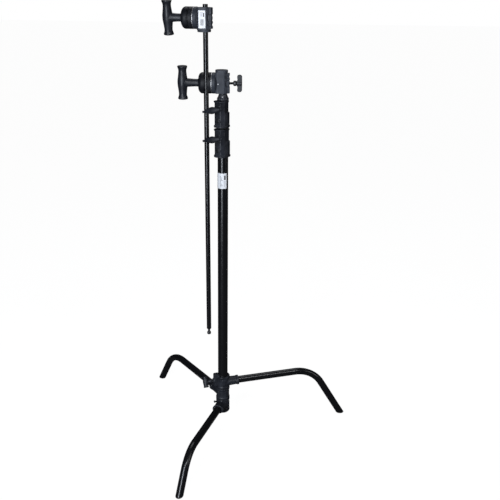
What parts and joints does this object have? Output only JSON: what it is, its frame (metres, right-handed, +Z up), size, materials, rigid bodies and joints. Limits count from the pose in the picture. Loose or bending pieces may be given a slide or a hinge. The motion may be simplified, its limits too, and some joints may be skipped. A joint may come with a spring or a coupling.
{
  "type": "c-stand",
  "caption": "Studio C-stand with a folding gooseneck leg base, telescopic risers, a grip head on its pin and a grip arm that carries a second head.",
  "frame": {"origin": "middle of the stand's bounding box, on the floor under it", "axes": "+Z up along the column, +X to the side where the lock knob and the highest leg point, +Y to the back, away from the front leg"},
  "size_m": [0.7444, 0.7868, 1.5083],
  "materials": {
    "tube_paint": "glossy black enamel on steel tube",
    "casting_paint": "satin black enamel on rough castings",
    "head_paint": "blue-black satin powder coat",
    "handle_paint": "satin black coat, worn where hands hold it",
    "black_plastic": "matt black plastic",
    "black_steel": "black oxide on turned steel",
    "bright_steel": "bare turned steel",
    "brass": "turned brass",
    "label": "white printed label, plain grey bars in place of any text"
  },
  "bodies": {
    "base": {"base_sleeve": "black_steel", "top_leg_casting": "casting_paint", "right_leg": "tube_paint", "right_leg_foot": "black_plastic", "right_leg_pin": "black_steel", "upper_leg_washer": "black_plastic", "lower_leg_washer": "black_plastic", "base_end_cap": "casting_paint", "base_cap_bolt": "black_steel"},
    "left_leg_assembly": {"middle_leg_casting": "casting_paint", "left_leg": "tube_paint", "left_leg_foot": "black_plastic", "left_leg_pin": "black_steel"},
    "front_leg_assembly": {"bottom_leg_casting": "casting_paint", "front_leg": "tube_paint", "front_leg_foot": "black_plastic", "front_leg_pin": "black_steel"},
    "leg_lock": {"leg_lock_plunger": "black_steel"},
    "base_clamp": {"base_clamp_screw": "black_steel", "base_clamp_handle": "handle_paint"},
    "lower_riser": {"lower_riser_tube": "tube_paint", "column_label": "label", "lower_clamp_casting": "casting_paint", "lower_casting_bolt": "black_steel", "lower_clamp_shoe": "brass"},
    "lower_clamp": {"lower_clamp_screw": "black_steel", "lower_clamp_handle": "handle_paint"},
    "middle_riser": {"middle_riser_tube": "tube_paint", "middle_riser_guide": "black_plastic", "upper_casting_bush": "black_plastic", "upper_clamp_casting": "casting_paint", "upper_casting_bolt": "black_steel", "upper_clamp_shoe": "brass"},
    "upper_clamp": {"upper_clamp_screw": "black_steel", "upper_clamp_handle": "handle_paint"},
    "top_riser": {"top_riser_tube": "tube_paint", "top_riser_guide": "black_plastic", "pin_collar": "casting_paint", "baby_pin": "black_steel", "collar_dowel": "bright_steel"},
    "lower_head": {"lower_head_receiver": "head_paint", "lower_friction_washer": "bright_steel"},
    "lower_lock": {"lower_lock_screw": "black_steel", "lower_lock_knob": "handle_paint"},
    "lower_jaw": {"lower_inner_plate": "casting_paint", "lower_centre_bolt": "black_steel"},
    "lower_outer_jaw": {"lower_outer_plate": "casting_paint", "lower_thrust_washer": "bright_steel"},
    "lower_handle": {"lower_t_handle": "handle_paint"},
    "arm": {"arm_rod": "tube_paint", "arm_tip": "black_steel", "upper_head_receiver": "head_paint", "upper_friction_washer": "bright_steel", "upper_head_label": "label", "upper_grub_screw": "black_steel"},
    "upper_jaw": {"upper_inner_plate": "casting_paint", "upper_centre_bolt": "black_steel"},
    "upper_outer_jaw": {"upper_outer_plate": "casting_paint", "upper_thrust_washer": "bright_steel"},
    "upper_handle": {"upper_t_handle": "handle_paint"}
  },
  "joints": [
    {"name": "left_leg_swing", "type": "hinge", "parent": "base", "child": "left_leg_assembly", "pos_m": [-0.09228, 0.04189, 0.1365], "axis": [0, 0, 1], "range_deg": [-108, 12]},
    {"name": "front_leg_swing", "type": "hinge", "parent": "base", "child": "front_leg_assembly", "pos_m": [-0.09228, 0.04189, 0.0905], "axis": [0, 0, 1], "range_deg": [-12, 110]},
    {"name": "leg_lock_pull", "type": "slide", "parent": "front_leg_assembly", "child": "leg_lock", "axis": [-0.9613, -0.2756, 0], "range_m": [0, 0.004], "stiffness_N_per_m": 400, "springref_m": -0.004},
    {"name": "base_clamp_turn", "type": "hinge", "parent": "base", "child": "base_clamp", "pos_m": [-0.1543, 0.01931, 0.188], "axis": [-0.9397, -0.342, 0], "range_deg": [0, 360]},
    {"name": "column_lift", "type": "slide", "parent": "base", "child": "lower_riser", "axis": [0, 0, 1], "range_m": [0, 0.15]},
    {"name": "lower_clamp_turn", "type": "hinge", "parent": "lower_riser", "child": "lower_clamp", "pos_m": [-0.12478, -0.0144, 1.086], "axis": [-0.5, -0.866, 0], "range_deg": [0, 360]},
    {"name": "middle_riser_slide", "type": "slide", "parent": "lower_riser", "child": "middle_riser", "axis": [0, 0, 1], "range_m": [0, 0.85]},
    {"name": "upper_clamp_turn", "type": "hinge", "parent": "middle_riser", "child": "upper_clamp", "pos_m": [-0.12478, -0.0144, 1.179], "axis": [-0.5, -0.866, 0], "range_deg": [0, 360]},
    {"name": "top_riser_slide", "type": "slide", "parent": "middle_riser", "child": "top_riser", "axis": [0, 0, 1], "range_m": [0, 0.93]},
    {"name": "lower_head_turn", "type": "hinge", "parent": "top_riser", "child": "lower_head", "pos_m": [-0.09228, 0.04189, 1.257], "axis": [0, 0, 1], "range_deg": [-200, 0]},
    {"name": "lower_lock_turn", "type": "hinge", "parent": "lower_head", "child": "lower_lock", "pos_m": [-0.04231, 0.04014, 1.257], "axis": [0.9994, -0.0349, 0], "range_deg": [0, 360]},
    {"name": "lower_jaw_swivel", "type": "hinge", "parent": "lower_head", "child": "lower_jaw", "pos_m": [-0.09228, 0.04189, 1.257], "axis": [-0.9994, 0.0349, 0], "range_deg": [-115, 0]},
    {"name": "lower_jaw_open", "type": "slide", "parent": "lower_jaw", "child": "lower_outer_jaw", "axis": [-0.9994, 0.0349, 0], "range_m": [0, 0.0053]},
    {"name": "lower_handle_turn", "type": "hinge", "parent": "lower_outer_jaw", "child": "lower_handle", "pos_m": [-0.22071, 0.04637, 1.257], "axis": [-0.9994, 0.0349, 0], "range_deg": [0, 1080]},
    {"name": "arm_slide", "type": "slide", "parent": "lower_jaw", "child": "arm", "axis": [-0.0045, 0, 1], "range_m": [-0.08, 0.78]},
    {"name": "upper_jaw_swivel", "type": "hinge", "parent": "arm", "child": "upper_jaw", "pos_m": [-0.14522, 0.02169, 1.4548], "axis": [-0.9848, 0.1736, -0.0045], "range_deg": [-180, 180]},
    {"name": "upper_jaw_open", "type": "slide", "parent": "upper_jaw", "child": "upper_outer_jaw", "axis": [-0.9848, 0.1736, -0.0045], "range_m": [0, 0.0053]},
    {"name": "upper_handle_turn", "type": "hinge", "parent": "upper_outer_jaw", "child": "upper_handle", "pos_m": [-0.2629, 0.04244, 1.45426], "axis": [-0.9848, 0.1736, -0.0045], "range_deg": [0, 1080]}
  ],
  "couplings": [
    {"joint": "lower_jaw_open", "follows": "lower_handle_turn", "m_per_rad": 0.00027852},
    {"joint": "upper_jaw_open", "follows": "upper_handle_turn", "m_per_rad": 0.00027852}
  ]
}
